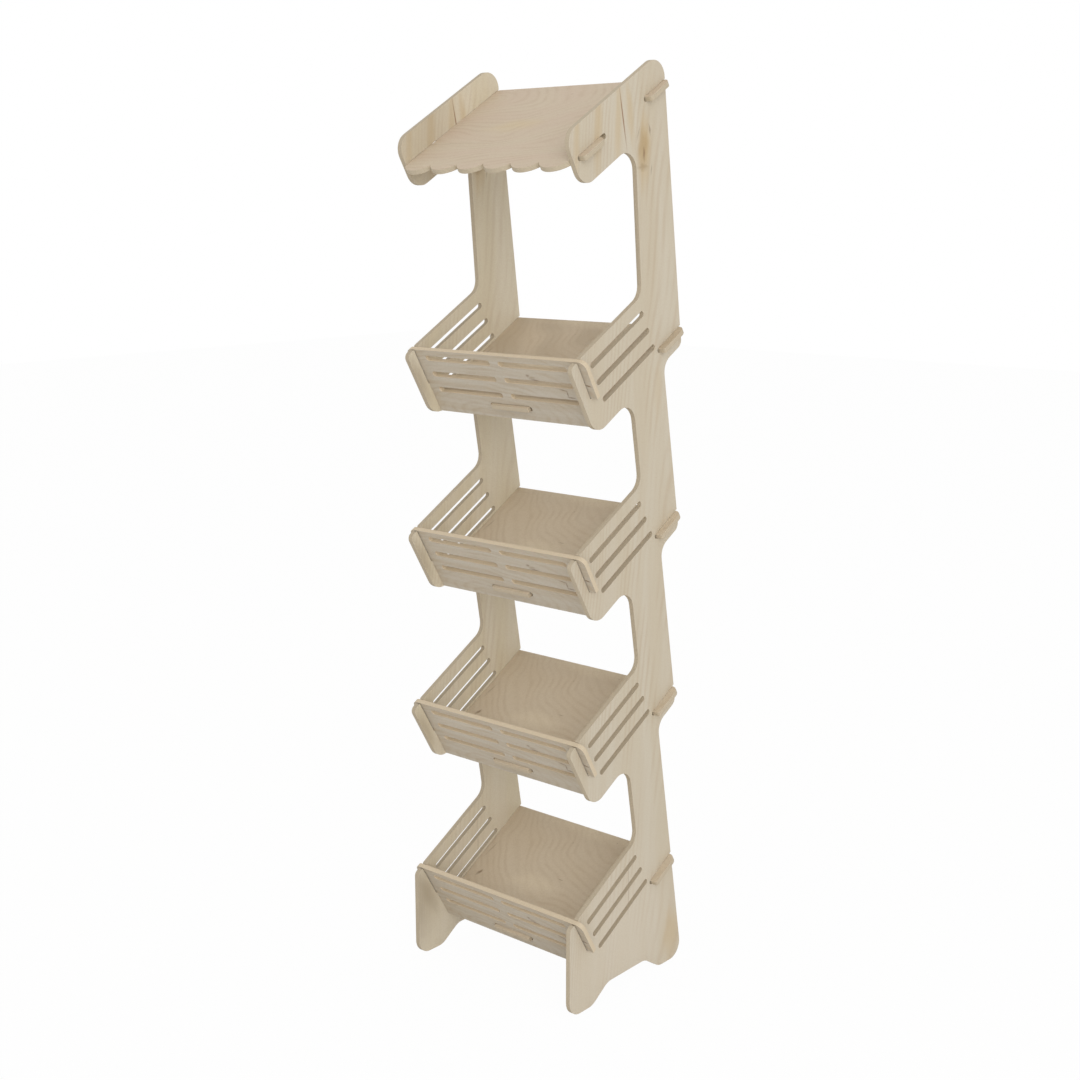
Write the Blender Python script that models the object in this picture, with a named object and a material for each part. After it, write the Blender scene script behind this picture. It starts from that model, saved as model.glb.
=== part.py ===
"""Slot-together plywood display stand.

Two upright side panels carry four tilted crates, one above the other, and a scalloped canopy.
Every joint is a flat tab or ear of one board in a slot or notch of another.
The ground is z = 0, x runs across the stand and the crates open towards -y.
"""
import math

import bpy
import bmesh
from mathutils import Matrix

# Sheet and play between pieces
SHEET = 0.009
PLAY = 0.0003
WIDTH = 0.400
EAR_REACH = 0.0145
EAR_RADIUS = 0.014
EAR_FRONT_RADIUS = 0.005
SMALL_RADIUS = 0.001
EASED_RADIUS = 0.003
CORNER_RADIUS = 0.030
NOSE_RADIUS = 0.0298

# Crates: each one's datum is the rear top edge of its floor
LEVELS = 4
PITCH = 0.343
BOTTOM_DATUM_HEIGHT = 0.2276
DATUM_FROM_CENTRE = 0.1424
TILT = math.radians(30.0)
LEAN = math.radians(100.0)
UPRIGHT = math.radians(90.0)
LEVEL = 0.0

# Crate wall and front panel, measured down the slope of a crate's floor and square to it
WALL_TOP = 0.1092
RIM_DEPTH = 0.0332
FRONT_FACE = 0.2756
FRONT_DROP = 0.0014
FRONT_LIFT = 0.0022
FRONT_TOP = WALL_TOP - FRONT_DROP
FRONT_BOTTOM = RIM_DEPTH - FRONT_LIFT

# Crate floor: rear ears, and a front tab that passes through the front panel
FLOOR_EAR_LENGTH = 0.0720
FLOOR_EAR_RELIEF = 0.0037
FLOOR_NOTCH_DEPTH = FLOOR_EAR_LENGTH + FLOOR_EAR_RELIEF
TAB_HALF_WIDTH = 0.0445
TAB_REACH = 0.0060
TAB_END_PLAY = 0.0055
TAB_SIDE_PLAY = 0.001

# Nose of a crate's side, with the notch that takes the front panel's ear
NOSE_REACH = 0.0219
NOSE_CUT = 0.0112
NOSE_FRONT = FRONT_FACE + NOSE_REACH
FINGER_DROP = 0.0012
FINGER_TOP = WALL_TOP - FINGER_DROP
FINGER_RADIUS = 0.0110
NOTCH_FRONT_PLAY = 0.0014
NOTCH_REAR_PLAY = 0.0006
NOTCH_FRONT = FRONT_FACE + NOTCH_FRONT_PLAY
NOTCH_REAR = FRONT_FACE - SHEET - NOTCH_REAR_PLAY
NOTCH_FLOOR = 0.0320

# Post behind a crate
REAR_OUTSTAND = 0.0041
POST_WIDTH = 0.0999
BARB_RADIUS = 0.0156

# Rows of slots in a crate's walls and front
SLOT_ROWS = 3
SLOT_WIDTH = 0.011
WALL_SLOT_LOWEST = 0.0105
WALL_SLOT_TOP_MARGIN = 0.0287
WALL_SLOT_FRONT_MARGIN = 0.0165
WALL_SLOT_REAR_MARGIN = 0.0028
WALL_SLOT_START = FLOOR_NOTCH_DEPTH + WALL_SLOT_REAR_MARGIN
WALL_SLOT_END = NOTCH_REAR - WALL_SLOT_FRONT_MARGIN
FRONT_SLOT_LOWEST = 0.020
FRONT_SLOT_TOP_MARGIN = 0.0178
FRONT_SLOT_INNER = 0.010
FRONT_SLOT_END_MARGIN = 0.0207

# Foot of the side panel
TOE_REACH = 0.0141
TOE_LENGTH = 0.0670
HEEL_LENGTH = 0.0738
RAMP_RUN = 0.0466
ARCH_HEIGHT = 0.0306
ARCH_RADIUS = 0.036

# Canopy arm of the side panel, round the canopy board, from the top crate's datum
CANOPY_TOP = 0.4025
ARM_ABOVE = 0.0452
ARM_BELOW = 0.0445
ARM_TOP = CANOPY_TOP + ARM_ABOVE
ARM_UNDER = CANOPY_TOP - SHEET - ARM_BELOW
ARM_FRONT = 0.1203
ARM_NOSE_CUT = 0.0109
TIP_CUT = 0.0225
TIP_REAR = 0.0546
TIP_LIP = 0.0024
TOP_POST_EXTRA = 0.0128
TOP_POST_FRONT = POST_WIDTH - REAR_OUTSTAND + TOP_POST_EXTRA
TOP_POST_FRONT_LEAN = math.radians(95.07)
TOP_POST_REAR_LEAN = math.radians(97.7)

# Canopy board: scallops past the arm, side tabs in slots and rear ears in notches
CUSP_REACH = 0.0022
SCALLOP_RISE = 0.0185
SCALLOPS = 6
CANOPY_CUSP = ARM_FRONT + CUSP_REACH
CANOPY_CREST = CANOPY_CUSP + SCALLOP_RISE
CANOPY_REAR = (CANOPY_TOP * math.sin(TILT) - TIP_REAR - TIP_LIP) / math.cos(TILT)
CANOPY_TAB_LENGTH = 0.0641
CANOPY_TAB_INSET = 0.0158
CANOPY_END_PLAY = 0.004
CANOPY_SLOT_SLACK = 0.0164
CANOPY_TAB_END = ARM_FRONT - CANOPY_TAB_INSET
CANOPY_TAB_START = CANOPY_TAB_END - CANOPY_TAB_LENGTH
CANOPY_SLOT_START = CANOPY_TAB_START - CANOPY_SLOT_SLACK
CANOPY_SLOT_END = CANOPY_TAB_END + CANOPY_END_PLAY
CANOPY_EAR_START = CANOPY_REAR - CANOPY_TAB_LENGTH
CANOPY_NOTCH_START = CANOPY_EAR_START - CANOPY_END_PLAY

# Fineness of the arcs: how far a chord may leave its arc
CHORD_ERROR = 0.00013
MERGE_DISTANCE = 1e-6

# Finishes: base colour of each kind of board
SIDE_COLOUR = (0.58, 0.51, 0.39, 1.0)
FLOOR_COLOUR = (0.52, 0.43, 0.30, 1.0)
FRONT_COLOUR = (0.50, 0.46, 0.37, 1.0)
CANOPY_COLOUR = (0.56, 0.47, 0.35, 1.0)
BOARD_ROUGHNESS = 0.7


def clear_scene():
    """Remove whatever a new file holds."""
    for thing in list(bpy.data.objects):
        bpy.data.objects.remove(thing, do_unlink=True)
    for group in list(bpy.data.collections):
        bpy.data.collections.remove(group)


def make_collection(name):
    """A collection of the scene for the stand's pieces."""
    group = bpy.data.collections.new(name)
    bpy.context.scene.collection.children.link(group)
    return group


def make_material(name, colour):
    """A matt wood finish of one plain colour."""
    finish = bpy.data.materials.new(name)
    finish.use_nodes = True
    shader = finish.node_tree.nodes["Principled BSDF"]
    shader.inputs["Base Color"].default_value = colour
    shader.inputs["Roughness"].default_value = BOARD_ROUGHNESS
    return finish


# Points and lines of the side view are (y, z); a line is a point and its angle


def datum(level):
    """Rear top edge of a crate's floor; level 0 is the top crate."""
    return DATUM_FROM_CENTRE, BOTTOM_DATUM_HEIGHT + PITCH * (LEVELS - 1 - level)


def tilted(along, above, level):
    """Point a distance down the slope of a crate and a height square to it."""
    y, z = datum(level)
    return (y - along * math.cos(TILT) - above * math.sin(TILT),
            z - along * math.sin(TILT) + above * math.cos(TILT))


def from_datum(forward, above, level=0):
    """Point forward of a crate's datum and straight above it."""
    y, z = datum(level)
    return y - forward, z + above


def meet(first, second):
    """Point where two lines cross."""
    (y1, z1), angle1 = first
    (y2, z2), angle2 = second
    c1, s1 = math.cos(angle1), math.sin(angle1)
    c2, s2 = math.cos(angle2), math.sin(angle2)
    run = ((y2 - y1) * s2 - (z2 - z1) * c2) / (c1 * s2 - s1 * c2)
    return y1 + run * c1, z1 + run * s1


def slope_line(above, level):
    """Line along the slope at a height square to the crate's floor."""
    return tilted(0, above, level), TILT


def cross_line(along, level):
    """Line square to the slope at a distance down it."""
    return tilted(along, 0, level), TILT + UPRIGHT


def rear_line(level):
    """Leaning rear edge of the post that stands on a crate."""
    return from_datum(-REAR_OUTSTAND, 0, level), LEAN


def post_front_line(level):
    """Leaning front edge of the post that stands on a crate."""
    return from_datum(POST_WIDTH - REAR_OUTSTAND, 0, level), LEAN


def raised(point, lift):
    """Point straight above another one."""
    return point[0], point[1] + lift


def toe_front():
    """Place of the toe's upright front edge, ahead of the lowest front panel's top."""
    return tilted(FRONT_FACE, FINGER_TOP, LEVELS - 1)[0] - TOE_REACH


def slot_heights(lowest, highest):
    """Heights of the evenly spaced rows of slots."""
    gaps = max(SLOT_ROWS - 1, 1)
    return [lowest + (highest - lowest) * row / gaps for row in range(SLOT_ROWS)]


def arc_steps(radius, sweep):
    """Number of chords that follow an arc closely enough."""
    widest = 2 * math.acos(1 - min(CHORD_ERROR / radius, 0.5))
    return max(2, math.ceil(sweep / widest))


def rounded(corners):
    """Outline through corners (a, b, radius), each replaced by its arc."""
    outline = []
    count = len(corners)
    for i, (a, b, radius) in enumerate(corners):
        pa, pb = corners[i - 1][:2]
        na, nb = corners[(i + 1) % count][:2]
        back = math.atan2(pb - b, pa - a)
        ahead = math.atan2(nb - b, na - a)
        opening = abs((ahead - back + math.pi) % (2 * math.pi) - math.pi)
        if radius == 0:
            outline.append((a, b))
            continue
        reach = radius / math.sin(opening / 2)
        middle = math.atan2(math.sin(back) + math.sin(ahead), math.cos(back) + math.cos(ahead))
        ca, cb = a + reach * math.cos(middle), b + reach * math.sin(middle)
        sweep = math.pi - opening
        steps = arc_steps(radius, sweep)
        turn = math.copysign(1, math.sin(back - ahead))
        for k in range(steps + 1):
            angle = middle + math.pi + turn * sweep * (k / steps - 0.5)
            outline.append((ca + radius * math.cos(angle), cb + radius * math.sin(angle)))
    return outline


def stadium(start, end, width, turn=0.0):
    """Round-ended slot between two extreme ends lying in the direction turn."""
    half = width / 2
    c, s = math.cos(turn), math.sin(turn)
    first = (start[0] + half * c, start[1] + half * s)
    last = (end[0] - half * c, end[1] - half * s)
    ring = []
    steps = arc_steps(half, math.pi)
    for (a, b), facing in ((first, turn + UPRIGHT), (last, turn - UPRIGHT)):
        for k in range(steps + 1):
            angle = facing + math.pi * k / steps
            ring.append((a + half * math.cos(angle), b + half * math.sin(angle)))
    return ring


def cut_board(name, outline, holes, location, rotation, group, finish):
    """A flat board of the sheet's thickness, cut along its outline and holes."""
    curve = bpy.data.curves.new(name, "CURVE")
    curve.dimensions = "2D"
    curve.fill_mode = "BOTH"
    curve.extrude = SHEET / 2
    curve.resolution_u = 1
    curve.render_resolution_u = 0
    for ring in [outline] + holes:
        spline = curve.splines.new("POLY")
        spline.points.add(len(ring) - 1)
        for point, (a, b) in zip(spline.points, ring):
            point.co = (a, b, 0, 1)
        spline.use_cyclic_u = True
    drawn = bpy.data.objects.new(name, curve)
    group.objects.link(drawn)
    depsgraph = bpy.context.evaluated_depsgraph_get()
    mesh = bpy.data.meshes.new_from_object(drawn.evaluated_get(depsgraph))
    bpy.data.objects.remove(drawn, do_unlink=True)
    bpy.data.curves.remove(curve)
    body = bmesh.new()
    body.from_mesh(mesh)
    bmesh.ops.remove_doubles(body, verts=body.verts, dist=MERGE_DISTANCE)
    bmesh.ops.recalc_face_normals(body, faces=body.faces)
    body.to_mesh(mesh)
    body.free()
    mesh.name = name
    mesh.materials.clear()
    mesh.materials.append(finish)
    board = bpy.data.objects.new(name, mesh)
    board.location = location
    board.rotation_euler = rotation
    group.objects.link(board)
    return board


# Side panels


def front_notch_corners(level, nose):
    """Finger, notch for the front panel's ear and start of the wall's top."""
    return [
        (*nose, FINGER_RADIUS),
        (*tilted(NOTCH_FRONT, FINGER_TOP, level), EASED_RADIUS),
        (*tilted(NOTCH_FRONT, NOTCH_FLOOR, level), SMALL_RADIUS),
        (*tilted(NOTCH_REAR, NOTCH_FLOOR, level), SMALL_RADIUS),
        (*tilted(NOTCH_REAR, WALL_TOP, level), EASED_RADIUS),
    ]


def front_corners(level):
    """Front edge of one crate's side and of the post above it, going up."""
    finger = slope_line(FINGER_TOP, level)
    if level == LEVELS - 1:
        nose = meet(((toe_front(), 0), UPRIGHT), finger)
    else:
        nose = meet(cross_line(NOSE_FRONT, level), finger)
    corners = front_notch_corners(level, nose)
    wall = slope_line(WALL_TOP, level)
    if level == 0:
        post = (from_datum(TOP_POST_FRONT, 0), TOP_POST_FRONT_LEAN)
        return corners + [(*meet(wall, post), CORNER_RADIUS)]
    post = post_front_line(level)
    under = slope_line(-RIM_DEPTH, level - 1)
    base = raised(tilted(NOSE_FRONT, -RIM_DEPTH, level - 1), NOSE_CUT), LEVEL
    return corners + [
        (*meet(wall, post), CORNER_RADIUS),
        (*meet(post, under), CORNER_RADIUS),
        (*meet(under, base), NOSE_RADIUS),
        (*meet(base, cross_line(NOSE_FRONT, level - 1)), NOSE_RADIUS),
    ]


def arm_corners():
    """Canopy arm at the head of the side panel, front to rear."""
    post = (from_datum(TOP_POST_FRONT, 0), TOP_POST_FRONT_LEAN)
    under = slope_line(ARM_UNDER, 0)
    base = raised(tilted(ARM_FRONT, ARM_UNDER, 0), ARM_NOSE_CUT), LEVEL
    front = cross_line(ARM_FRONT, 0)
    top = slope_line(ARM_TOP, 0)
    back = (from_datum(TIP_REAR, 0), UPRIGHT)
    crown = raised(meet(top, back), -TIP_CUT), LEVEL
    return [
        (*meet(post, under), CORNER_RADIUS),
        (*meet(under, base), NOSE_RADIUS),
        (*meet(base, front), NOSE_RADIUS),
        (*meet(front, top), CORNER_RADIUS),
        (*meet(top, crown), CORNER_RADIUS),
        (*meet(crown, back), CORNER_RADIUS),
    ]


def rear_notch_corners(upper_edge, lower_edge, board_top, inner_end, level):
    """Round-ended notch open to the rear that takes the ear of a tilted board."""
    roof = board_top + PLAY
    bed = board_top - SHEET - PLAY
    end_radius = (roof - bed) / 2
    return [
        (*meet(upper_edge, slope_line(roof, level)), SMALL_RADIUS),
        (*tilted(inner_end, roof, level), end_radius),
        (*tilted(inner_end, bed, level), end_radius),
        (*meet(lower_edge, slope_line(bed, level)), SMALL_RADIUS),
    ]


def rear_corners():
    """Rear edge of the side panel, from the tip down to the heel."""
    tip = (from_datum(TIP_REAR, 0), UPRIGHT)
    head = (from_datum(-REAR_OUTSTAND, 0), TOP_POST_REAR_LEAN)
    corners = rear_notch_corners(tip, head, CANOPY_TOP, -CANOPY_NOTCH_START, 0)
    above = head
    for level in range(LEVELS):
        below = rear_line(level)
        corners += rear_notch_corners(above, below, 0, FLOOR_NOTCH_DEPTH, level)
        if level < LEVELS - 1:
            under = slope_line(-RIM_DEPTH, level)
            corners.append((*meet(below, under), BARB_RADIUS))
            above = rear_line(level + 1)
            corners.append((*meet(under, above), CORNER_RADIUS))
    return corners


def foot_corners():
    """Heel, arch between the feet and toe on the ground line."""
    ground = ((0, 0), LEVEL)
    heel, _ = meet(rear_line(LEVELS - 1), ground)
    toe = toe_front()
    return [
        (heel, 0, CORNER_RADIUS),
        (heel - HEEL_LENGTH, 0, ARCH_RADIUS),
        (heel - HEEL_LENGTH - RAMP_RUN, ARCH_HEIGHT, ARCH_RADIUS),
        (toe + TOE_LENGTH + RAMP_RUN, ARCH_HEIGHT, ARCH_RADIUS),
        (toe + TOE_LENGTH, 0, ARCH_RADIUS),
        (toe, 0, CORNER_RADIUS),
    ]


def side_slots():
    """Three slots in the wall of each crate and the canopy slot in the arm."""
    turn = TILT + math.pi
    slots = []
    for level in range(LEVELS):
        for above in slot_heights(WALL_SLOT_LOWEST, WALL_TOP - WALL_SLOT_TOP_MARGIN):
            start = tilted(WALL_SLOT_START, above, level)
            end = tilted(WALL_SLOT_END, above, level)
            slots.append(stadium(start, end, SLOT_WIDTH, turn))
    middle = CANOPY_TOP - SHEET / 2
    start = tilted(CANOPY_SLOT_START, middle, 0)
    end = tilted(CANOPY_SLOT_END, middle, 0)
    slots.append(stadium(start, end, SHEET + 2 * PLAY, turn))
    return slots


def build_sides(group):
    """The two upright side panels, cut to the same outline."""
    corners = []
    for level in reversed(range(LEVELS)):
        corners += front_corners(level)
    corners += arm_corners() + rear_corners() + foot_corners()
    outline = rounded(corners)
    upright = Matrix(((0, 0, 1), (1, 0, 0), (0, 1, 0))).to_euler()
    for name, hand in (("side_panel_left", -1), ("side_panel_right", 1)):
        place = (hand * (WIDTH - SHEET) / 2, 0, 0)
        finish = make_material("ply_" + name, SIDE_COLOUR)
        cut_board(name, outline, side_slots(), place, upright, group, finish)


# Boards between the sides are drawn on x and on the distance up the slope


def inner_half():
    """Half the width of a board that lies between the side panels."""
    return WIDTH / 2 - SHEET - PLAY


def ear_reach():
    """Distance from the middle of the stand to the outer end of an ear."""
    return WIDTH / 2 + EAR_REACH


def mirrored(corners):
    """Right half of an outline and its mirror image as one ring."""
    return corners + [(-a, b, radius) for a, b, radius in reversed(corners)]


def build_floor(level, group):
    """Crate floor with two rear ears and a front tab."""
    front = -(FRONT_FACE - SHEET - PLAY)
    half = inner_half()
    reach = ear_reach()
    corners = [
        (TAB_HALF_WIDTH, -(FRONT_FACE + TAB_REACH), SMALL_RADIUS),
        (TAB_HALF_WIDTH, front, SMALL_RADIUS),
        (half, front, SMALL_RADIUS),
        (half, -FLOOR_EAR_LENGTH, SMALL_RADIUS),
        (reach, -FLOOR_EAR_LENGTH, EAR_FRONT_RADIUS),
        (reach, 0, EAR_RADIUS),
    ]
    y, z = tilted(0, -SHEET / 2, level)
    name = f"crate_floor_{level + 1}"
    finish = make_material("ply_" + name, FLOOR_COLOUR)
    cut_board(name, rounded(mirrored(corners)), [], (0, y, z), (TILT, 0, 0), group, finish)


def build_front(level, group):
    """Slatted front panel that hangs by its ears in the side notches."""
    half = inner_half()
    reach = ear_reach()
    shelf = NOTCH_FLOOR + PLAY
    corners = [
        (half, -FRONT_BOTTOM, SMALL_RADIUS),
        (half, shelf, SMALL_RADIUS),
        (reach, shelf, SMALL_RADIUS),
        (reach, FRONT_TOP, EAR_RADIUS),
    ]
    holes = []
    outer = half - FRONT_SLOT_END_MARGIN
    for above in slot_heights(FRONT_SLOT_LOWEST, FRONT_TOP - FRONT_SLOT_TOP_MARGIN):
        for start, end in ((-outer, -FRONT_SLOT_INNER), (FRONT_SLOT_INNER, outer)):
            holes.append(stadium((start, above), (end, above), SLOT_WIDTH))
    centre = -SHEET / 2
    tab_end = TAB_HALF_WIDTH + TAB_END_PLAY
    holes.append(stadium((-tab_end, centre), (tab_end, centre), SHEET + 2 * TAB_SIDE_PLAY))
    y, z = tilted(FRONT_FACE - SHEET / 2, 0, level)
    name = f"crate_front_{level + 1}"
    finish = make_material("ply_" + name, FRONT_COLOUR)
    turned = (TILT + UPRIGHT, 0, 0)
    cut_board(name, rounded(mirrored(corners)), holes, (0, y, z), turned, group, finish)


def scallop_edge(half):
    """Scalloped front edge of the canopy, from left to right."""
    chord = 2 * half / SCALLOPS
    rise = CANOPY_CREST - CANOPY_CUSP
    radius = (chord * chord / 4 + rise * rise) / (2 * rise)
    sweep = math.asin(chord / 2 / radius)
    steps = arc_steps(radius, 2 * sweep)
    edge = []
    for i in range(SCALLOPS):
        centre = -half + (i + 0.5) * chord
        for k in range(steps):
            angle = sweep * (2 * k / steps - 1)
            depth = CANOPY_CREST - radius + radius * math.cos(angle)
            edge.append((centre + radius * math.sin(angle), -depth))
    edge.append((half, -CANOPY_CUSP))
    return edge


def build_canopy(group):
    """Canopy board with scalloped front edge, side tabs and rear ears."""
    half = inner_half()
    reach = ear_reach()
    right = [
        (half, -CANOPY_TAB_END, SMALL_RADIUS),
        (reach, -CANOPY_TAB_END, EAR_FRONT_RADIUS),
        (reach, -CANOPY_TAB_START, EAR_RADIUS),
        (half, -CANOPY_TAB_START, SMALL_RADIUS),
        (half, CANOPY_EAR_START, SMALL_RADIUS),
        (reach, CANOPY_EAR_START, EAR_FRONT_RADIUS),
        (reach, CANOPY_REAR, EAR_RADIUS),
    ]
    scallops = scallop_edge(half)
    first, last = scallops[0], scallops[-1]
    corners = [(*last, 0)] + right
    corners += [(-a, b, radius) for a, b, radius in reversed(right)] + [(*first, 0)]
    outline = rounded(corners) + scallops[1:-1]
    y, z = tilted(0, CANOPY_TOP - SHEET / 2, 0)
    finish = make_material("ply_canopy", CANOPY_COLOUR)
    cut_board("canopy", outline, [], (0, y, z), (TILT, 0, 0), group, finish)


def build_stand():
    """The whole stand as separate boards."""
    clear_scene()
    group = make_collection("display_stand")
    build_sides(group)
    for level in range(LEVELS):
        build_floor(level, group)
        build_front(level, group)
    build_canopy(group)
    bpy.context.view_layer.update()


build_stand()
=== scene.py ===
# %% [markdown]
# # A slot-together plywood display stand
# The stand is two upright side panels, four tilted crates and a scalloped canopy.
# Every board is cut from one thin sheet of plywood and pushed into slots of the next.
# The wood is bare, so the look comes from the veneer, the sawn edges and soft light, and from some painted
# light and shade on the side panels and floors.

# %% Load the boards
import math
import bmesh
import bpy
from mathutils import Euler, Matrix, Vector


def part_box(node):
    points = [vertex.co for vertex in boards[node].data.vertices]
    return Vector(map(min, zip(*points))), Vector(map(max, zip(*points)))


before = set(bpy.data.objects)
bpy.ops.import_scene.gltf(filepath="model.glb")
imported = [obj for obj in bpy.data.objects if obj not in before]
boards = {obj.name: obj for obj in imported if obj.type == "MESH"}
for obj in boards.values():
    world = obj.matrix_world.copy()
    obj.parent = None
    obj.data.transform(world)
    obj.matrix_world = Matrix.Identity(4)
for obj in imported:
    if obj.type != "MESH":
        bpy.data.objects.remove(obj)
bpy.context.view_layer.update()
print("boards:", sorted(boards))

# %% [markdown]
# The camera stands to the right of the stand's front at about eye height, and looks slightly down.
# That draws the uprights a little together towards the feet.
# It could be aimed at a point on the stand, but then the small roll of the picture would be lost.
# So its matrix is made from its place and three angles.

# %% Camera
IMAGE_SIDE = 1080
SENSOR_MM = 36.0
FOCAL_PIXELS = 1568.3
NEAREST_SEEN = 0.05
CAMERA_PLACE = (1.8890, -2.2150, 1.4663)
LOOK_DOWN = 11.902
LOOK_ROUND = 40.647
ROLL = -0.033

camera_data = bpy.data.cameras.new("camera")
camera_data.sensor_width = SENSOR_MM
camera_data.lens = FOCAL_PIXELS / IMAGE_SIDE * SENSOR_MM
camera_data.clip_start = NEAREST_SEEN
camera = bpy.data.objects.new("camera", camera_data)
bpy.context.scene.collection.objects.link(camera)
look = Euler((math.radians(90 - LOOK_DOWN), 0, math.radians(LOOK_ROUND))).to_matrix().to_4x4()
roll = Matrix.Rotation(math.radians(ROLL), 4, "Z")
camera.matrix_world = Matrix.Translation(CAMERA_PLACE) @ look @ roll
bpy.context.scene.camera = camera
print("lens", round(camera_data.lens, 2), "mm")

# %% [markdown]
# The background, the floor and the wood all get their look from graphs of small nodes.
# Wired line by line, a graph soon hides what it does, so short helpers do the wiring.
# A sum comes back as an output socket, so it can be written straight into the next one.

# %% Node helpers
def feed(tree, node, links):
    """Feeds a node; each link pairs an input with its source, a socket or a plain value."""
    for slot, source in links:
        if isinstance(source, bpy.types.NodeSocket):
            tree.links.new(source, node.inputs[slot])
        else:
            node.inputs[slot].default_value = source


def add(tree, kind, links=(), **settings):
    """A new node with its settings, fed by its links."""
    node = tree.nodes.new("ShaderNode" + kind)
    for name, value in settings.items():
        setattr(node, name, value)
    feed(tree, node, links)
    return node


def maths(tree, operation, first, second=0.0, clamp=False):
    """One sum on two numbers."""
    links = [(0, first), (1, second)]
    return add(tree, "Math", links, operation=operation, use_clamp=clamp).outputs[0]


print("node helpers ready")

# %% [markdown]
# The photograph has a pure white ground, and much of the light comes from all round.
# A white world would give both, but it would bleach the wood.
# So the world shines evenly and a little warm on the wood, while the camera and gloss see white.
# Light Path tells the two apart.

# %% World
SKY_LEVEL = 0.68
SKY_TINT = (1.0, 0.985, 0.96, 1)
WHITE = (1.0, 1.0, 1.0, 1)

world = bpy.data.worlds.new("studio")
bpy.context.scene.world = world
world.use_nodes = True
sky = world.node_tree
sky.nodes.clear()
ray = add(sky, "LightPath")
direct = maths(sky, "MAXIMUM", ray.outputs["Is Camera Ray"], ray.outputs["Is Glossy Ray"])
sees_white = maths(sky, "MAXIMUM", direct, ray.outputs["Is Transmission Ray"])
sky_light = add(sky, "Background", [("Color", SKY_TINT), ("Strength", SKY_LEVEL)])
backdrop = add(sky, "Background", [("Color", WHITE), ("Strength", 1.0)])
chosen = add(sky, "MixShader", [(0, sees_white), (1, sky_light.outputs[0]), (2, backdrop.outputs[0])])
add(sky, "OutputWorld", [("Surface", chosen.outputs[0])])
print("sky level", SKY_LEVEL)

# %% [markdown]
# Soft studio light comes from large panels, far enough off to cast no hard edge.
# Small lamps would be simpler, but they would draw crisp shadows of every slat.
# The key panel stands to the right, not far from the camera's side, so it reaches into the crates.
# It is so far off that the feet get nearly as much light as the canopy.
# A faint one, high up in front, lifts the canopy and the floors.

# %% Lights
LIT_MIDDLE = Vector((0.0, 0.0, 0.9))


def light_panel(name, place, side, watts):
    """A square panel of light that faces the middle of the stand."""
    data = bpy.data.lights.new(name, "AREA")
    data.shape = "SQUARE"
    data.size = side
    data.energy = watts
    panel = bpy.data.objects.new(name, data)
    aim = (LIT_MIDDLE - Vector(place)).to_track_quat("-Z", "Y")
    panel.matrix_world = Matrix.Translation(place) @ aim.to_matrix().to_4x4()
    bpy.context.scene.collection.objects.link(panel)


light_panel("key_panel", place=(7.0, -5.5, 4.1), side=6.5, watts=312)
light_panel("top_panel", place=(-1.0, -5.0, 8.0), side=6.0, watts=40)

# %% [markdown]
# The floor is a wide plain sheet under the feet.
# A curved backdrop would do as well, but the world is already white behind the stand.
# A bmesh grid of one square is enough, because nothing of it shows but its colour.

# %% Floor
FLOOR_HALF_SIDE = 12.0


def make_floor(name, half_side):
    """A flat square sheet at ground level."""
    sheet = bmesh.new()
    bmesh.ops.create_grid(sheet, x_segments=1, y_segments=1, size=half_side)
    mesh = bpy.data.meshes.new(name)
    sheet.to_mesh(mesh)
    sheet.free()
    floor = bpy.data.objects.new(name, mesh)
    bpy.context.scene.collection.objects.link(floor)
    return floor


studio_floor = make_floor("studio_floor", FLOOR_HALF_SIDE)
print("floor:", studio_floor.dimensions[:])

# %% [markdown]
# The floor's finish does two things at once: it takes a shadow, and it looks white to the camera.
# A matt shader takes the shadow, and an emission of exactly one is white.
# Light Path's Is Camera Ray mixes them, so the wood is lit by the matt floor alone.
# The camera sees a small share of the matt shader too, which keeps a faint shadow at the feet.

# %% Floor finish
FLOOR_GREY = (0.90, 0.90, 0.90, 1)
WHITE_SHARE = 0.97


def open_material(name):
    """A new material, and its node tree with a Principled shader."""
    finish = bpy.data.materials.new(name)
    finish.use_nodes = True
    return finish, finish.node_tree


floor_paint, paint = open_material("floor_paint")
paint.nodes.clear()
camera_ray = add(paint, "LightPath").outputs["Is Camera Ray"]
share = maths(paint, "MULTIPLY", camera_ray, WHITE_SHARE)
matt = add(paint, "BsdfDiffuse", [("Color", FLOOR_GREY)])
glow = add(paint, "Emission", [("Strength", 1.0)])
mixed = add(paint, "MixShader", [(0, share), (1, matt.outputs[0]), (2, glow.outputs[0])])
add(paint, "OutputMaterial", [("Surface", mixed.outputs[0])])
studio_floor.data.materials.append(floor_paint)
print("floor finish:", floor_paint.name)

# %% [markdown]
# A veneer's figure is made of noises, soft steps between them, and colours that blend.
# Each is one node with many sockets, so each gets a helper that says plainly what it is for.

# %% Pattern helpers
def blend_colours(tree, share, first, second):
    """Mix of two colours by a share."""
    return add(tree, "Mix", [(0, share), (6, first), (7, second)], data_type="RGBA").outputs[2]


def lay_over(tree, mask, strength, colour, tint):
    """A colour with a tint laid over it where a mask is bright."""
    return blend_colours(tree, maths(tree, "MULTIPLY", mask, strength), colour, tint)


def ramp(tree, value, low, high, to_low=0.0, to_high=1.0):
    """A smooth step of a value between two limits."""
    links = [(0, value), (1, low), (2, high), (3, to_low), (4, to_high)]
    return add(tree, "MapRange", links, interpolation_type="SMOOTHSTEP").outputs[0]


def noise(tree, place, scale=1.0, detail=1.0, roughness=0.5, distortion=0.0):
    """A smooth noise, read at a place."""
    links = [("Vector", place), ("Scale", scale), ("Detail", detail), ("Roughness", roughness),
             ("Distortion", distortion)]
    return add(tree, "TexNoise", links).outputs[0]


def split(tree, vector):
    """The three parts of a vector."""
    return add(tree, "SeparateXYZ", [(0, vector)]).outputs[:]


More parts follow.
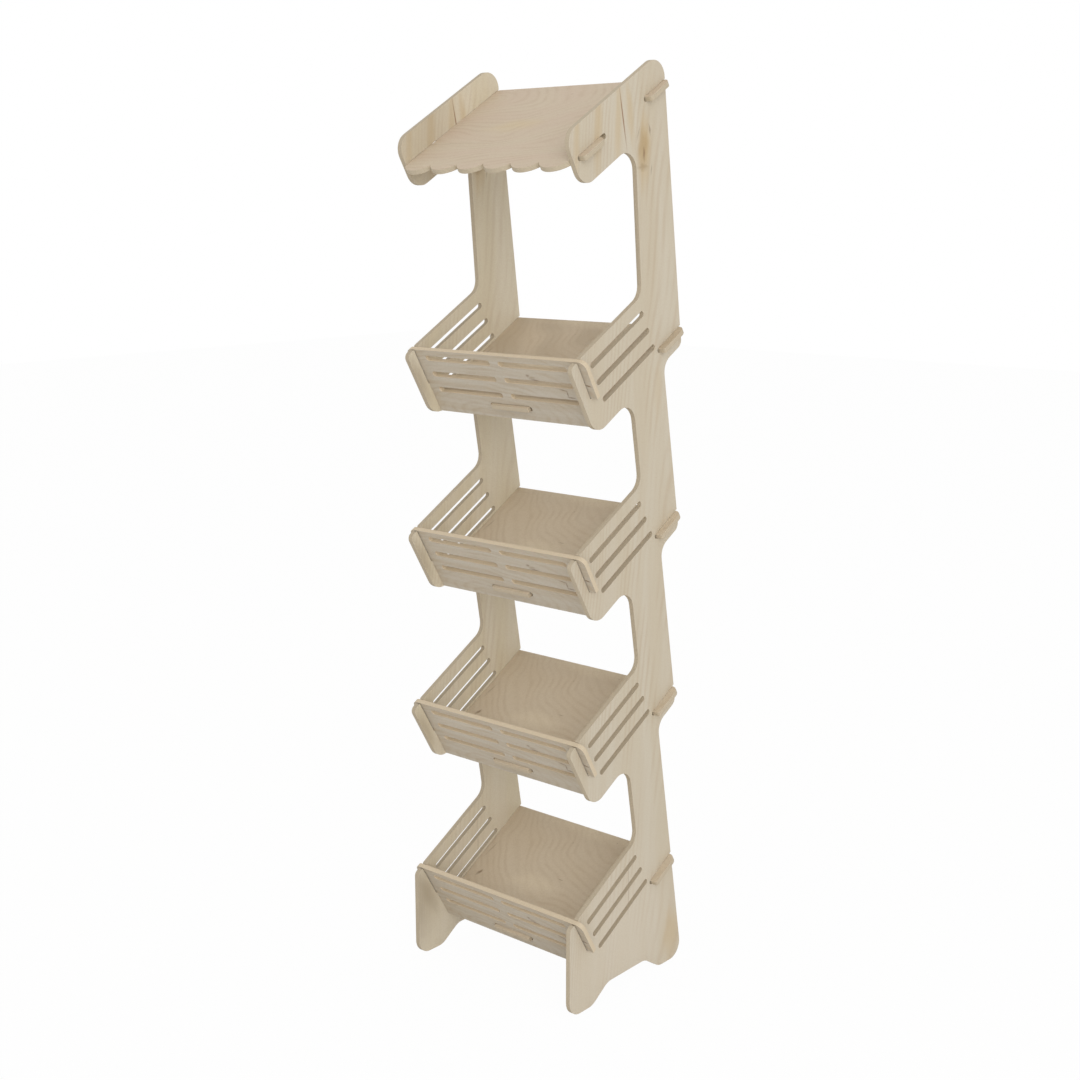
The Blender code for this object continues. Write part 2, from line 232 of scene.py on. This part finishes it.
def join(tree, across, along, through=0.0):
    """A vector from its three parts."""
    return add(tree, "CombineXYZ", [(0, across), (1, along), (2, through)]).outputs[0]


print("pattern helpers ready")

# %% [markdown]
# Several boards share the same effects, so each effect is a node group with named sockets.
# The nodes could be copied into every material, but then a change would have to be made in each.
# This helper opens a group: it gives back the tree, the inputs and the node that takes the outputs.

# %% Opening a group
def open_group(name, inputs, outputs):
    """A new shader group; inputs are (name, type, value), and outputs are (name, type)."""
    tree = bpy.data.node_groups.new(name, "ShaderNodeTree")
    for label, kind, value in inputs:
        socket = tree.interface.new_socket(label, in_out="INPUT", socket_type="NodeSocket" + kind)
        if value is not None:
            socket.default_value = value
    for label, kind in outputs:
        tree.interface.new_socket(label, in_out="OUTPUT", socket_type="NodeSocket" + kind)
    return tree, tree.nodes.new("NodeGroupInput").outputs, tree.nodes.new("NodeGroupOutput")


print("group helper ready")

# %% [markdown]
# Straight-grained veneer has broad bands of tone that run the whole length of the board.
# Over them lie narrow growth lines and, finer still, short pores.
# All three are one noise stretched along the grain by different amounts, so they agree in direction.
# A slow sideways drift, fed from a noise of low pitch, keeps the lines from looking ruled.

# %% Straight grain
SWAY_ACROSS = 7.0
SWAY_ALONG = 2.6
SWAY_REACH = 4.0

grain, grain_in, grain_out = open_group(
    "straight_grain",
    [("Board", "Vector", None), ("Band Width", "Float", 0.020), ("Drift", "Float", 0.006),
     ("Seed", "Float", 0.0)],
    [("Bands", "Float"), ("Lines", "Float"), ("Pores", "Float")])
across, along = split(grain, grain_in["Board"])[:2]
sway = noise(grain, join(grain, maths(grain, "MULTIPLY", across, SWAY_ACROSS),
                         maths(grain, "MULTIPLY", along, SWAY_ALONG), grain_in["Seed"]))
shift = maths(grain, "MULTIPLY", maths(grain, "SUBTRACT", sway, 0.5),
              maths(grain, "MULTIPLY", grain_in["Drift"], SWAY_REACH))
turns = maths(grain, "DIVIDE", maths(grain, "ADD", across, shift), grain_in["Band Width"])
for label, pitch, run, detail, low, high in (("Bands", 1.0, 1.3, 2.0, 0.36, 0.66),
                                             ("Lines", 3.6, 3.4, 2.0, 0.38, 0.64),
                                             ("Pores", 17.0, 60.0, 1.0, 0.40, 0.66)):
    place = join(grain, maths(grain, "MULTIPLY", turns, pitch), maths(grain, "MULTIPLY", along, run),
                 grain_in["Seed"])
    feed(grain, grain_out, [(label, ramp(grain, noise(grain, place, detail=detail), low, high))])
print("group:", grain.name)

# %% [markdown]
# Rotary-cut veneer is peeled from the log, so its growth rings open into wide contours.
# They look like the height lines of a map, and are made as one does there.
# A slope gives straight lines, an arch spreads them on one side, and an eye bows them round a point.
# A smooth noise sways them, and a fine one frays them.

# %% Peeled figure, the heights
FRAY_SCALE = 9.0
FRAY_REACH = 0.36

figure, figure_in, figure_out = open_group(
    "peeled_figure",
    [("Board", "Vector", None), ("Hill Size", "Float", 0.16), ("Stretch", "Float", 2.2),
     ("Levels", "Float", 11.0), ("Across Rise", "Float", 0.0), ("Along Rise", "Float", 0.0),
     ("Arch", "Float", 0.0), ("Eye", "Vector", (0, 0, 0)), ("Rings", "Float", 0.0),
     ("Fade", "Float", 0.12), ("Seed", "Float", 0.0)],
    [("Contours", "Float"), ("Tone", "Float"), ("Pores", "Float")])
across, along = split(figure, figure_in["Board"])[:2]
long_size = maths(figure, "MULTIPLY", figure_in["Hill Size"], figure_in["Stretch"])
hills_at = join(figure, maths(figure, "DIVIDE", across, figure_in["Hill Size"]),
                maths(figure, "DIVIDE", along, long_size), figure_in["Seed"])
hills = noise(figure, hills_at, detail=1.4, roughness=0.38, distortion=0.25)
swayed = maths(figure, "MULTIPLY", hills, figure_in["Levels"])
slope = maths(figure, "MULTIPLY", across, figure_in["Across Rise"])
climb = maths(figure, "MULTIPLY", along, figure_in["Along Rise"])
bow = maths(figure, "MULTIPLY", maths(figure, "MULTIPLY", across, across), figure_in["Arch"])
from_eye = add(figure, "VectorMath", [(0, figure_in["Board"]), (1, figure_in["Eye"])],
               operation="SUBTRACT")
eye_across, eye_along = split(figure, from_eye.outputs[0])[:2]
oval = join(figure, eye_across, maths(figure, "DIVIDE", eye_along, figure_in["Stretch"]))
radius = add(figure, "VectorMath", [(0, oval)], operation="LENGTH").outputs["Value"]
ripple = maths(figure, "MULTIPLY", radius, figure_in["Rings"])
fray = maths(figure, "MULTIPLY", noise(figure, hills_at, FRAY_SCALE, detail=2.0), FRAY_REACH)
height = maths(figure, "ADD", maths(figure, "ADD", swayed, slope), maths(figure, "ADD", climb, bow))
height = maths(figure, "ADD", maths(figure, "ADD", height, ripple), fray)
print("heights of", figure.name, "from", len(figure.nodes), "nodes")

# %% [markdown]
# Dark lines follow the levels of those heights, as late wood does in each growth ring.
# Pingpong folds the height up and down once a level, and a soft step draws a line where it is lowest.
# A noise lets the lines fade out in places, because a real contour is seldom equally dark all along.
# The same heights, folded more broadly, give the slow change of tone between the rings.

# %% Peeled figure, the lines
FADE_SCALE = 2.7
BROAD_FOLD = 2.5
PORES_ACROSS = 900.0
PORES_ALONG = 120.0

ring = ramp(figure, maths(figure, "PINGPONG", height, 0.5), 0.02, 0.34, 1.0, 0.0)
strength = maths(figure, "MAXIMUM", ramp(figure, noise(figure, hills_at, FADE_SCALE), 0.36, 0.64),
                 figure_in["Fade"])
broad = maths(figure, "MULTIPLY", maths(figure, "PINGPONG", height, BROAD_FOLD), 1 / BROAD_FOLD)
tone = maths(figure, "ADD", ramp(figure, hills, 0.30, 0.72), ramp(figure, broad, 0.1, 0.9))
pores_at = join(figure, maths(figure, "MULTIPLY", across, PORES_ACROSS),
                maths(figure, "MULTIPLY", along, PORES_ALONG), figure_in["Seed"])
feed(figure, figure_out, [("Contours", maths(figure, "MULTIPLY", ring, strength)),
                          ("Tone", maths(figure, "MULTIPLY", tone, 0.5)),
                          ("Pores", ramp(figure, noise(figure, pores_at), 0.42, 0.66))])
print("group:", figure.name)

# %% [markdown]
# A veneer shows a few single marks: a pin knot, a short check, a brown fleck of bark.
# Each is an oval with a soft, ragged edge, set by its middle, half sizes and turn.
# The same group makes all of them, and the broad patches of painted light and shade as well, because only
# those few numbers differ.

# %% Single marks
RAG_SCALE = 1.6
RAG_REACH = 3.0

mark, mark_in, mark_out = open_group(
    "veneer_mark_and_painted_light",
    [("Board", "Vector", None), ("Middle", "Vector", (0, 0, 0)), ("Half Width", "Float", 0.002),
     ("Half Length", "Float", 0.01), ("Turn", "Float", 0.0), ("Rag", "Float", 0.3)],
    [("Mask", "Float")])
offset = add(mark, "VectorMath", [(0, mark_in["Board"]), (1, mark_in["Middle"])], operation="SUBTRACT")
turned = add(mark, "VectorRotate", [("Vector", offset.outputs[0]), ("Angle", mark_in["Turn"])],
             rotation_type="Z_AXIS")
across, along = split(mark, turned.outputs[0])[:2]
flat = join(mark, maths(mark, "DIVIDE", across, mark_in["Half Width"]),
            maths(mark, "DIVIDE", along, mark_in["Half Length"]))
reach = add(mark, "VectorMath", [(0, flat)], operation="LENGTH").outputs["Value"]
rough = maths(mark, "SUBTRACT", noise(mark, flat, RAG_SCALE, detail=2.0), 0.5)
rag = maths(mark, "MULTIPLY", rough, maths(mark, "MULTIPLY", mark_in["Rag"], RAG_REACH))
feed(mark, mark_out, [("Mask", ramp(mark, maths(mark, "ADD", reach, rag), 0.15, 1.0, 1.0, 0.0))])
print("group:", mark.name)

# %% [markdown]
# The figure and the marks have to lie where the boards are, so their measures come from the frame.
# They could be typed in, but then they would be wrong as soon as a board changed.
# A side panel is as wide as the sheet is thick, and the highest line of a floor is its rear top edge.
# That line is the datum of the crate, and the next crate is the same one pitch lower.
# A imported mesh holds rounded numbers, so each length is set to a hundredth of a millimetre.

# %% Measures of the stand
TILT = math.radians(30.0)
DOWN_SLOPE = Vector((0, -math.cos(TILT), -math.sin(TILT)))
SQUARE_UP = Vector((0, -math.sin(TILT), math.cos(TILT)))
CRATES = len([name for name in boards if name.startswith("crate_floor")])
DIGITS = 5

panel_low, panel_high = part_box("side_panel_right")
SHEET = round(panel_high.x - panel_low.x, DIGITS)
floor_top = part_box("crate_floor_1")[1]
DATUM_Y = round(floor_top.y - SHEET * math.sin(TILT), DIGITS)
TOP_DATUM_Z = round(floor_top.z, DIGITS)
PITCH = round(floor_top.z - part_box("crate_floor_2")[1].z, DIGITS)


def datum(level):
    """Rear top edge of a crate's floor."""
    return Vector((0, DATUM_Y, TOP_DATUM_Z - PITCH * level))


def middle_of_sheet(name, level, normal):
    """The crate's datum, moved square to a board onto the middle of its sheet."""
    start = datum(level)
    reaches = [(vertex.co - start).dot(normal) for vertex in boards[name].data.vertices]
    return start + normal * round((min(reaches) + max(reaches)) / 2, DIGITS)


print("sheet", SHEET, "datum", DATUM_Y, TOP_DATUM_Z, "pitch", PITCH, "crates", CRATES)

# %% [markdown]
# The sawn edge shows the thin layers of the sheet, with the grain of every other one end on.
# End grain drinks more light, so those layers are a little darker, and all are faint here.
# The group takes the place through the sheet's thickness, and mixes a pale and a dark layer.

# %% Sawn edge
LAYERS = 7
EDGE_SPECK_SCALE = 420.0
LAYER_SHARE = 0.55
EDGE_SPECK_SHARE = 0.35

sawn, sawn_in, sawn_out = open_group(
    "sawn_edge",
    [("Board", "Vector", None), ("Pale", "Color", (0.6, 0.5, 0.4, 1)),
     ("Dark", "Color", (0.5, 0.4, 0.3, 1))],
    [("Color", "Color")])
depth = maths(sawn, "ADD", maths(sawn, "DIVIDE", split(sawn, sawn_in["Board"])[2], SHEET), 0.5)
stack = maths(sawn, "PINGPONG", maths(sawn, "MULTIPLY", depth, LAYERS), 1.0)
layer = maths(sawn, "MULTIPLY", ramp(sawn, stack, 0.25, 0.75), LAYER_SHARE)
speck_at = add(sawn, "VectorMath", [(0, sawn_in["Board"]), ("Scale", EDGE_SPECK_SCALE)], operation="SCALE")
specks = ramp(sawn, noise(sawn, speck_at.outputs[0], detail=2.0), 0.35, 0.7)
tone = maths(sawn, "ADD", layer, maths(sawn, "MULTIPLY", specks, EDGE_SPECK_SHARE), clamp=True)
feed(sawn, sawn_out, [("Color", blend_colours(sawn, tone, sawn_in["Pale"], sawn_in["Dark"]))])
print("group:", sawn.name)

# %% [markdown]
# Every board is described in its own flat coordinates: across, along and through the sheet.
# One Mapping node turns the object's coordinates into them, and the same turn acts on the normal.
# Where the turned normal points through the sheet we see veneer, and elsewhere the sawn edge.

# %% Board coordinates
EDGE_BELOW = 0.55
FACE_ABOVE = 0.85


def board_space(tree, origin, turn):
    """Board coordinates, and the share of sawn edge, of a board with that origin and turn."""
    coordinates = add(tree, "TexCoord")
    back = Euler(turn).to_matrix().transposed()
    angles = back.to_euler()
    shift = back @ Vector(origin)
    spot = add(tree, "Mapping", [("Vector", coordinates.outputs["Object"]), ("Location", -shift),
                                 ("Rotation", angles)], vector_type="POINT")
    facing = add(tree, "Mapping", [("Vector", coordinates.outputs["Normal"]), ("Rotation", angles)],
                 vector_type="VECTOR")
    through = maths(tree, "ABSOLUTE", split(tree, facing.outputs[0])[2])
    return spot.outputs[0], ramp(tree, through, EDGE_BELOW, FACE_ABOVE, 1.0, 0.0)


def quarter_turn(tree, space):
    """Board coordinates turned so that the figure runs across the stand."""
    return add(tree, "Mapping", [("Vector", space), ("Rotation", (0, 0, math.pi / 2))]).outputs[0]


print("board space ready")

# %% [markdown]
# Colours are written as they look in the picture and turned into linear values.
# The veneers of the four kinds of board differ a little in hue, as sheets of one batch do.
# Each kind has a pale ground, a second tone, a tint for its lines and two for its sawn edge.

# %% Colours
def colour_of(text):
    """Linear colour from the hexadecimal value a picture editor shows."""
    channels = [int(text[i:i + 2], 16) / 255 for i in (0, 2, 4)]
    return tuple(c / 12.92 if c <= 0.04045 else ((c + 0.055) / 1.055) ** 2.4 for c in channels) + (1.0,)


def colours_of(*texts):
    """Several linear colours at once."""
    return [colour_of(text) for text in texts]


BARK, RESIN, FLECK, TAN = colours_of("6A4A30", "85532F", "8A7152", "AC9066")
# SHADE is the tint of the left panel's painted shade.
HONEY, STAIN, SHADE = colours_of("C4AA7C", "D2BE94", "A99C86")
# Pale tints for broad patches of painted light on the floors and over the side panels' feet.
FLOOR_PAINTED_LIGHT, SIDE_PAINTED_LIGHT = colours_of("E0D3BA", "DBD2C3")
SIDE_PALE, SIDE_TONE, SIDE_LINE = colours_of("CFC6B4", "C9BDA6", "B8A285")
# The left panel's tones are painted paler than the right's, as painted light on its inner face.
LEFT_LIT_PALE, LEFT_LIT_TONE = colours_of("DAD1BD", "D4C9AE")
FLOOR_PALE, FLOOR_TONE, FLOOR_LINE = colours_of("CFC1AB", "CDBEA7", "AC9473")
# The top floor's ground is painted darker, as painted shade.
TOP_FLOOR_SHADED_PALE = colour_of("BFB099")
FRONT_PALE, FRONT_TONE, FRONT_LINE = colours_of("C6BEB0", "C0B5A3", "A89374")
CANOPY_PALE, CANOPY_TONE, CANOPY_LINE = colours_of("CEC0AA", "CDBBA7", "B69E83")
SIDE_EDGE = colours_of("C4B7A1", "B1A38B")
# The left panel's sawn edge is painted darker, as painted shade.
LEFT_SHADED_EDGE = colours_of("BDB09A", "AB9D86")
FLOOR_EDGE = colours_of("CABCA5", "B9AB94")
FRONT_EDGE = colours_of("DACBB2", "CBB99D")
CANOPY_EDGE = colours_of("C8BBA4", "B8AA92")
print("side veneer:", [round(c, 3) for c in SIDE_PALE[:3]])

# %% [markdown]
# Raw plywood is matt, with a satin hint where the veneer was sanded.
# Roughness rises in the pores, and a very low bump lets grazing light catch the lines.
# The veneer and the edge could be two materials, but then every face would have to be sorted.
# So this function joins them in one Principled shader.

# %% Finishing a board
FACE_SPECK_SCALE = 360.0
FACE_SPECK_SHARE = 0.16
SMOOTH = 0.56
ROUGH = 0.70
BUMP_STRENGTH = 0.12
BUMP_DEPTH = 0.0004
SHINE = 0.32


def finish_board(tree, space, edge, veneer, relief, line, edge_shades):
    """Joins the veneer's colour, fine specks, the sawn edge and the bump in the board's shader."""
    specks = noise(tree, space, FACE_SPECK_SCALE, detail=3.0)
    veneer = blend_colours(tree, ramp(tree, specks, 0.35, 0.70, 0.0, FACE_SPECK_SHARE), veneer, line)
    pale, dark = edge_shades
    side = add(tree, "Group", [("Board", space), ("Pale", pale), ("Dark", dark)], node_tree=sawn)
    bump = add(tree, "Bump", [("Height", relief), ("Strength", BUMP_STRENGTH), ("Distance", BUMP_DEPTH)])
    feed(tree, tree.nodes["Principled BSDF"], [
        ("Base Color", blend_colours(tree, edge, veneer, side.outputs["Color"])),
        ("Roughness", ramp(tree, relief, 0.0, 1.0, SMOOTH, ROUGH)),
        ("Normal", bump.outputs[0]),
        ("Specular IOR Level", SHINE)])


print("shader helper ready")

# %% [markdown]
# Marks are laid over a veneer one after another, each as a tint through its own ragged mask.
# One texture with all of them would need a picture, and a list of ovals stays easy to change.
# The side panels' marks are written from the datum of the top crate, as that is close to most.

# %% Laying marks
def place_marks(tree, space, marks, colour):
    """Adds single marks to a colour.

    A mark is (across, along, half width, half length, turn, rag, strength, tint).
    """
    for across, along, width, length, turn, rag, strength, tint in marks:
        spot = add(tree, "Group", [("Board", space), ("Middle", (across, along, 0)),
                                   ("Half Width", width), ("Half Length", length),
                                   ("Turn", math.radians(turn)), ("Rag", rag)], node_tree=mark)
        colour = lay_over(tree, spot.outputs["Mask"], strength, colour, tint)
    return colour


def from_datum(marks):
    """Marks written from the top crate's datum, in the coordinates of a side panel."""
    return [(DATUM_Y + across, TOP_DATUM_Z + along, *rest) for across, along, *rest in marks]


print("marks helper ready")

# %% [markdown]
# Both side panels show the same marks: a long thin crack in the arm with warm streaks beside it,
# a knot in the top post, and lower down a fine check, a few soft honey patches and a broad pale patch of
# painted light over the feet.
# The left one has a second check, and broad darker patches on its arm, front foot and noses.
# Those patches are painted shade, standing for the softer light there, which the two panels of light don't
# give.

# %% Marks of the side panels
side_marks = from_datum([
    # A broad pale patch of painted light over the feet.
    (-0.150, -1.180, 0.2600, 0.2600, 0, 0.10, 0.40, SIDE_PAINTED_LIGHT),
    (-0.173, 0.364, 0.0024, 0.072, -12.7, 0.10, 0.84, RESIN),
    (-0.153, 0.372, 0.0140, 0.075, -10, 0.20, 0.42, HONEY),
    (-0.186, 0.350, 0.0130, 0.130, 0, 0.20, 0.40, HONEY),
    (-0.240, 0.340, 0.0170, 0.130, 0, 0.20, 0.42, HONEY),
    (-0.297, 0.330, 0.0110, 0.130, 0, 0.20, 0.38, HONEY),
    (-0.112, 0.312, 0.0260, 0.085, 0, 0.25, 0.62, HONEY),
    (-0.115, 0.316, 0.0240, 0.044, 0, 0.30, 0.50, TAN),
    (-0.112, 0.304, 0.0046, 0.017, -4, 0.35, 0.52, BARK),
    (-0.097, 0.346, 0.0028, 0.014, -14, 0.30, 0.48, BARK),
    (-0.129, 0.338, 0.0020, 0.018, 18, 0.30, 0.30, BARK),
    (-0.114, 0.282, 0.0210, 0.009, 0, 0.45, 0.36, FLECK),
    (-0.094, 0.345, 0.0016, 0.006, 0, 0.30, 0.35, BARK),
    (-0.090, 0.278, 0.0024, 0.013, 6, 0.30, 0.36, BARK),
    (-0.060, -0.110, 0.0170, 0.070, 0, 0.25, 0.20, HONEY),
    (-0.132, -1.060, 0.0012, 0.080, 0, 0.10, 0.45, BARK),
    (0.008, -1.200, 0.0400, 0.075, 0, 0.20, 0.42, HONEY),
])
left_marks = side_marks + from_datum([
    # Broad patches of painted shade on the arm and the front foot, and then a second check.
    (-0.270, 0.350, 0.1400, 0.1700, 0, 0.15, 0.36, SHADE),
    (-0.330, -1.150, 0.1000, 0.1300, 0, 0.15, 0.60, SHADE),
    (-0.218, -1.118, 0.0012, 0.060, 0, 0.15, 0.45, BARK),
])
# A patch of painted shade on the nose of every crate.
NOSE_BEFORE_DATUM = 0.280
NOSE_BELOW_DATUM = 0.104
for level in range(CRATES):
    nose = -PITCH * level - NOSE_BELOW_DATUM
    left_marks += from_datum([(-NOSE_BEFORE_DATUM, nose, 0.0200, 0.0750, -30, 0.15, 0.50, SHADE)])
print("marks:", len(side_marks), "right,", len(left_marks), "left")

# %% [markdown]
# The side panels have upright, straight-grained veneer.
# Faint, very long contours lie over the grain, because real growth lines lean and part a little.
# The left panel, seen from inside, is painted a little paler as painted light, and its sawn edge a little
# darker as painted shade; its lines are fainter.
# One function makes both, because only the tones, the contrast and a few marks differ.

# %% Side panel veneer
ply_of = {}
UPRIGHT = Matrix(((0, 0, 1), (1, 0, 0), (0, 1, 0))).to_euler()


def side_veneer(name, pale, tone, contrast, marks, edge_shades):
    """Upright veneer for one side panel."""
    ply_of[name], tree = open_material(name + "_ply")
    space, edge = board_space(tree, (0, 0, 0), UPRIGHT)
    veins = add(tree, "Group", [("Board", space), ("Band Width", 0.046), ("Drift", 0.016),
                                ("Seed", 3.7)], node_tree=grain)
    rings = add(tree, "Group", [("Board", space), ("Hill Size", 0.150), ("Stretch", 3.2), ("Levels", 4.0),
                                ("Across Rise", 80.0), ("Along Rise", -9.0), ("Arch", -170.0),
                                ("Fade", 0.10), ("Seed", 1.9)], node_tree=figure)
    veneer = lay_over(tree, veins.outputs["Bands"], 0.60, pale, tone)
    veneer = lay_over(tree, veins.outputs["Lines"], 0.08, veneer, SIDE_LINE)
    veneer = lay_over(tree, rings.outputs["Contours"], contrast, veneer, SIDE_LINE)
    veneer = place_marks(tree, space, marks, veneer)
    finish_board(tree, space, edge, veneer, veins.outputs["Pores"], SIDE_LINE, edge_shades)


side_veneer("side_panel_right", SIDE_PALE, SIDE_TONE, 0.30, side_marks, SIDE_EDGE)
side_veneer("side_panel_left", LEFT_LIT_PALE, LEFT_LIT_TONE, 0.20, left_marks, LEFT_SHADED_EDGE)
print("materials:", [ply.name for ply in ply_of.values()])

# %% [markdown]
# Crate floors are peeled veneer, so contour figure covers them.
# All four are the same board moved down one pitch, so the figure repeats on each.
# One material can't follow that move, because all boards are measured from the stand's own origin.
# So each floor gets its own copy, and the top one has a slightly darker ground, which is painted shade.

# %% Crate floor veneer
FLOOR_EYE = (0.10, 0.05, 0.0)
floor_marks = [
    # The first two are broad paler patches of painted light.
    (-0.028, -0.164, 0.0900, 0.0340, 0, 0.25, 0.50, FLOOR_PAINTED_LIGHT),
    (0.040, -0.004, 0.1900, 0.0260, 0, 0.20, 0.60, FLOOR_PAINTED_LIGHT),
    (-0.164, -0.181, 0.0050, 0.0120, 25, 0.45, 0.65, BARK),
    (-0.178, -0.120, 0.0030, 0.0250, 8, 0.45, 0.35, FLECK),
    (0.020, -0.136, 0.0100, 0.0012, 4, 0.30, 0.50, BARK),
    (0.081, -0.015, 0.0020, 0.0020, 0, 0.30, 0.35, BARK),
    (-0.012, -0.046, 0.0018, 0.0030, 0, 0.30, 0.30, BARK),
    (-0.060, -0.148, 0.0016, 0.0016, 0, 0.30, 0.30, BARK),
]


def floor_veneer(level):
    """Peeled veneer for the floor of one crate."""
    name = f"crate_floor_{level + 1}"
    ply_of[name], tree = open_material(name + "_ply")
    space, edge = board_space(tree, middle_of_sheet(name, level, SQUARE_UP), (TILT, 0, 0))
    rings = add(tree, "Group", [("Board", space), ("Hill Size", 0.110), ("Stretch", 1.05), ("Levels", 5.0),
                                ("Eye", FLOOR_EYE), ("Rings", 62.0), ("Fade", 0.50), ("Seed", 8.2)],
                node_tree=figure)
    # The top floor gets a darker ground, as painted shade.
    pale = FLOOR_PALE if level else TOP_FLOOR_SHADED_PALE
    veneer = blend_colours(tree, rings.outputs["Tone"], pale, FLOOR_TONE)
    veneer = lay_over(tree, rings.outputs["Contours"], 0.20, veneer, FLOOR_LINE)
    veneer = place_marks(tree, space, floor_marks, veneer)
    finish_board(tree, space, edge, veneer, rings.outputs["Pores"], FLOOR_LINE, FLOOR_EDGE)


for level in range(CRATES):
    floor_veneer(level)
print("materials so far:", len(ply_of))

# %% [markdown]
# The front panels have their grain across the stand, a shade greyer than the floors.
# Low down the growth rings open into a flat arch, and a few small knots lie on the right.
# Grain and contours are laid over each other, because sliced veneer shows both.

# %% Front panel veneer
FRONT_EYE = (0.030, -0.060, 0.0)
front_marks = [
    (0.079, 0.0655, 0.0120, 0.0050, -8, 0.30, 0.42, FLECK),
    (0.071, 0.0700, 0.0060, 0.0040, 0, 0.40, 0.55, BARK),
    (0.086, 0.0615, 0.0150, 0.0022, 4, 0.30, 0.75, BARK),
    (0.143, 0.0450, 0.0130, 0.0020, 12, 0.30, 0.62, BARK),
    (0.150, 0.0370, 0.0024, 0.0110, 0, 0.30, 0.60, BARK),
    (0.157, 0.0300, 0.0130, 0.0024, 4, 0.40, 0.65, BARK),
    (0.205, 0.0590, 0.0090, 0.0020, 14, 0.20, 0.85, BARK),
]


def front_veneer(level):
    """Cross-grained veneer for the front panel of one crate."""
    name = f"crate_front_{level + 1}"
    ply_of[name], tree = open_material(name + "_ply")
    origin = middle_of_sheet(name, level, DOWN_SLOPE)
    space, edge = board_space(tree, origin, (TILT + math.pi / 2, 0, 0))
    crosswise = quarter_turn(tree, space)
    veins = add(tree, "Group", [("Board", crosswise), ("Band Width", 0.016), ("Drift", 0.008),
                                ("Seed", 5.1)], node_tree=grain)
    rings = add(tree, "Group", [("Board", crosswise), ("Hill Size", 0.060), ("Stretch", 2.4),
                                ("Levels", 4.0), ("Eye", FRONT_EYE), ("Rings", 105.0),
                                ("Fade", 0.25), ("Seed", 2.4)], node_tree=figure)
    veneer = blend_colours(tree, veins.outputs["Bands"], FRONT_PALE, FRONT_TONE)
    veneer = lay_over(tree, rings.outputs["Contours"], 0.30, veneer, FRONT_LINE)
    veneer = lay_over(tree, veins.outputs["Lines"], 0.14, veneer, FRONT_LINE)
    veneer = place_marks(tree, space, front_marks, veneer)
    finish_board(tree, space, edge, veneer, veins.outputs["Pores"], FRONT_LINE, FRONT_EDGE)


for level in range(CRATES):
    front_veneer(level)
print("materials so far:", len(ply_of))

# %% [markdown]
# The canopy's veneer flows across the board in wide, slightly pink waves.
# It is peeled veneer again, but its contours are long and low, so the hills are stretched.
# A yellowish stain and a pin of resin are its only single marks.

# %% Canopy veneer
CANOPY_EYE = (-0.131, -0.170, 0.0)
canopy_marks = [
    (0.018, 0.1307, 0.0040, 0.0016, -30, 0.30, 0.55, RESIN),
    (-0.030, 0.0170, 0.0850, 0.0300, -4, 0.30, 0.40, STAIN),
]


def canopy_veneer():
    """Wavy peeled veneer for the canopy."""
    ply_of["canopy"], tree = open_material("canopy_ply")
    space, edge = board_space(tree, middle_of_sheet("canopy", 0, SQUARE_UP), (TILT, 0, 0))
    waves = add(tree, "Group", [("Board", quarter_turn(tree, space)), ("Hill Size", 0.110),
                                ("Stretch", 2.2), ("Levels", 9.0), ("Eye", CANOPY_EYE),
                                ("Rings", 85.0), ("Fade", 0.30), ("Seed", 6.6)], node_tree=figure)
    veneer = blend_colours(tree, waves.outputs["Tone"], CANOPY_PALE, CANOPY_TONE)
    veneer = lay_over(tree, waves.outputs["Contours"], 0.26, veneer, CANOPY_LINE)
    veneer = place_marks(tree, space, canopy_marks, veneer)
    finish_board(tree, space, edge, veneer, waves.outputs["Pores"], CANOPY_LINE, CANOPY_EDGE)


canopy_veneer()
print("material:", ply_of["canopy"].name)

# %% [markdown]
# A router leaves crisp edges that a light sanding only just breaks.
# A tiny Bevel on each board catches the light there, and the board itself stays as it is.
# The boards arrive as loose triangles, so a Weld joins them before the Bevel.

# %% Broken edges
SANDED = 0.0004
SEAM = 0.00002
ROUNDING_STEPS = 2
SHARP_FROM = math.radians(50)


def break_edges(board):
    """Welds a board's triangles and rounds its sharp edges a little."""
    weld = board.modifiers.new("weld", "WELD")
    weld.merge_threshold = SEAM
    round_off = board.modifiers.new("sanded_edge", "BEVEL")
    round_off.width = SANDED
    round_off.segments = ROUNDING_STEPS
    round_off.limit_method = "ANGLE"
    round_off.angle_limit = SHARP_FROM


for board in boards.values():
    break_edges(board)
print("broke the edges of", len(boards), "boards")

# %% [markdown]
# Each board still has the plain colour that it was packed with.
# It could keep that slot and have its colour changed, but then boards of one kind would share it.
# So the slot is emptied and takes the board's own veneer, and the board's shape stays as it is.

# %% Dressing the boards
def dress(board, finish):
    """Gives a board its veneer in place of the plain colour."""
    board.data.materials.clear()
    board.data.materials.append(finish)


for name, board in boards.items():
    dress(board, ply_of[name])
print("dressed", len(boards), "boards")

# %% [markdown]
# Last come the display settings.
# Standard view keeps a colour as it is written, which suits a product picture on white.

# %% Finish
bpy.context.scene.view_settings.view_transform = "Standard"
bpy.context.view_layer.update()
